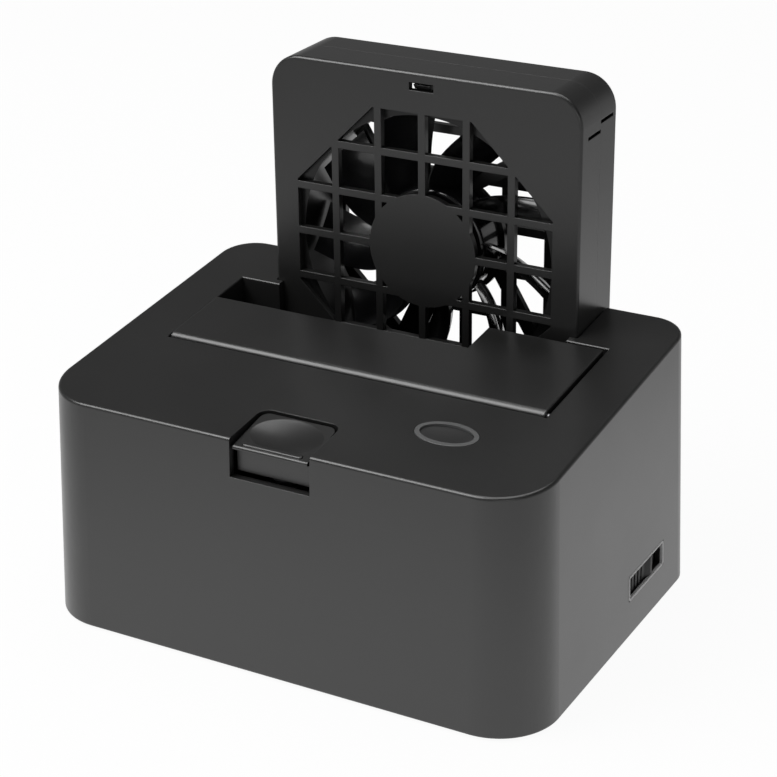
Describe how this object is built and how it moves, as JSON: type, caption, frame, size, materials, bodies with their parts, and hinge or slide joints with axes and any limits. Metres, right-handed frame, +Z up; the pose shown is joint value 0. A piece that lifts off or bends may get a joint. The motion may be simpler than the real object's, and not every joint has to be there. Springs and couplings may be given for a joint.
{
  "type": "hard drive docking station",
  "caption": "Low rounded desktop docking station with a flapped top slot, a scooped release key, a round lit button and an upright fan panel with a grille at the back.",
  "frame": {"origin": "centre of the box round the part, on the table that the feet stand on", "axes": "+X to the right of a user who faces the front, +Y to the back, +Z up"},
  "size_m": [0.149, 0.1086, 0.1416],
  "materials": {
    "shell": "satin",
    "flap_plastic": "satin",
    "button_plastic": "satin",
    "rubber": "matt",
    "screw_steel": "zinc plated",
    "board": "solder mask",
    "connector_plastic": "matt",
    "contact_gold": "gold plated",
    "chip_plastic": "matt",
    "can_metal": "satin",
    "port_metal": "nickel plated",
    "tongue_plastic": "moulded",
    "pin_metal": "polished",
    "ring_clear": "frosted",
    "lamp_clear": "clear",
    "spring_steel": "drawn",
    "fan_plastic": "satin",
    "rotor_plastic": "gloss",
    "magnet": "matt",
    "bearing_bronze": "sintered",
    "winding": "enamelled",
    "fan_screw": "black oxide"
  },
  "bodies": {
    "housing": {"top_housing": "shell", "bottom_cover": "shell", "rubber_feet": "rubber", "housing_screws": "screw_steel", "drive_well": "shell", "well_screws": "screw_steel", "main_board": "board", "board_screws": "screw_steel", "drive_connector": "connector_plastic", "drive_contacts": "contact_gold", "board_chips": "chip_plastic", "crystal": "can_metal", "capacitors": "can_metal", "usb_port": "port_metal", "usb_tongue": "tongue_plastic", "esata_port": "port_metal", "esata_tongue": "connector_plastic", "power_jack": "connector_plastic", "jack_pin": "pin_metal", "light_ring": "ring_clear", "power_switch": "connector_plastic", "button_board": "board", "status_lamps": "lamp_clear", "button_board_screws": "screw_steel", "eject_spring": "spring_steel", "eject_pivot_pin": "pin_metal", "flap_hinge_pin": "pin_metal", "flap_spring": "spring_steel", "fan_switch_case": "connector_plastic", "fan_front_bezel": "shell", "fan_rear_cover": "shell", "fan_frame": "fan_plastic", "fan_bearing": "bearing_bronze", "fan_core": "winding", "fan_screws": "fan_screw", "module_screws": "screw_steel"},
    "power_button": {"power_button": "button_plastic", "power_switch_plunger": "tongue_plastic"},
    "eject_button": {"eject_button": "shell"},
    "eject_lever": {"eject_lever": "shell"},
    "flap": {"slot_flap": "flap_plastic"},
    "fan_switch": {"fan_switch_knob": "button_plastic"},
    "fan_rotor": {"fan_rotor": "rotor_plastic", "fan_shaft": "pin_metal", "fan_magnet_ring": "magnet"}
  },
  "joints": [
    {"name": "flap_hinge", "type": "hinge", "parent": "housing", "child": "flap", "pos_m": [0, -0.00811, 0.06939], "axis": [1, 0, 0], "range_deg": [-85, 0], "stiffness_Nm_per_rad": 0.006, "springref_deg": 28.65},
    {"name": "eject_press", "type": "slide", "parent": "housing", "child": "eject_button", "axis": [0, 0, -1], "range_m": [0, 0.0026], "stiffness_N_per_m": 700, "springref_m": -0.003, "deforming": ["eject_spring"]},
    {"name": "eject_lever_pivot", "type": "hinge", "parent": "housing", "child": "eject_lever", "pos_m": [0, -0.02795, 0.0142], "axis": [1, 0, 0], "range_deg": [0, 10.8]},
    {"name": "power_press", "type": "slide", "parent": "housing", "child": "power_button", "axis": [0, 0.0945, -0.9955], "range_m": [0, 0.0016], "stiffness_N_per_m": 900, "springref_m": -0.0006},
    {"name": "fan_switch_slide", "type": "slide", "parent": "housing", "child": "fan_switch", "axis": [0, 1, 0], "range_m": [0, 0.006]},
    {"name": "fan_spin", "type": "hinge", "parent": "housing", "child": "fan_rotor", "pos_m": [0, 0.0405, 0.091], "axis": [0, 1, 0], "continuous": true}
  ],
  "couplings": [
    {"joint": "eject_lever_pivot", "follows": "eject_press", "rad_per_m": 71.4}
  ]
}
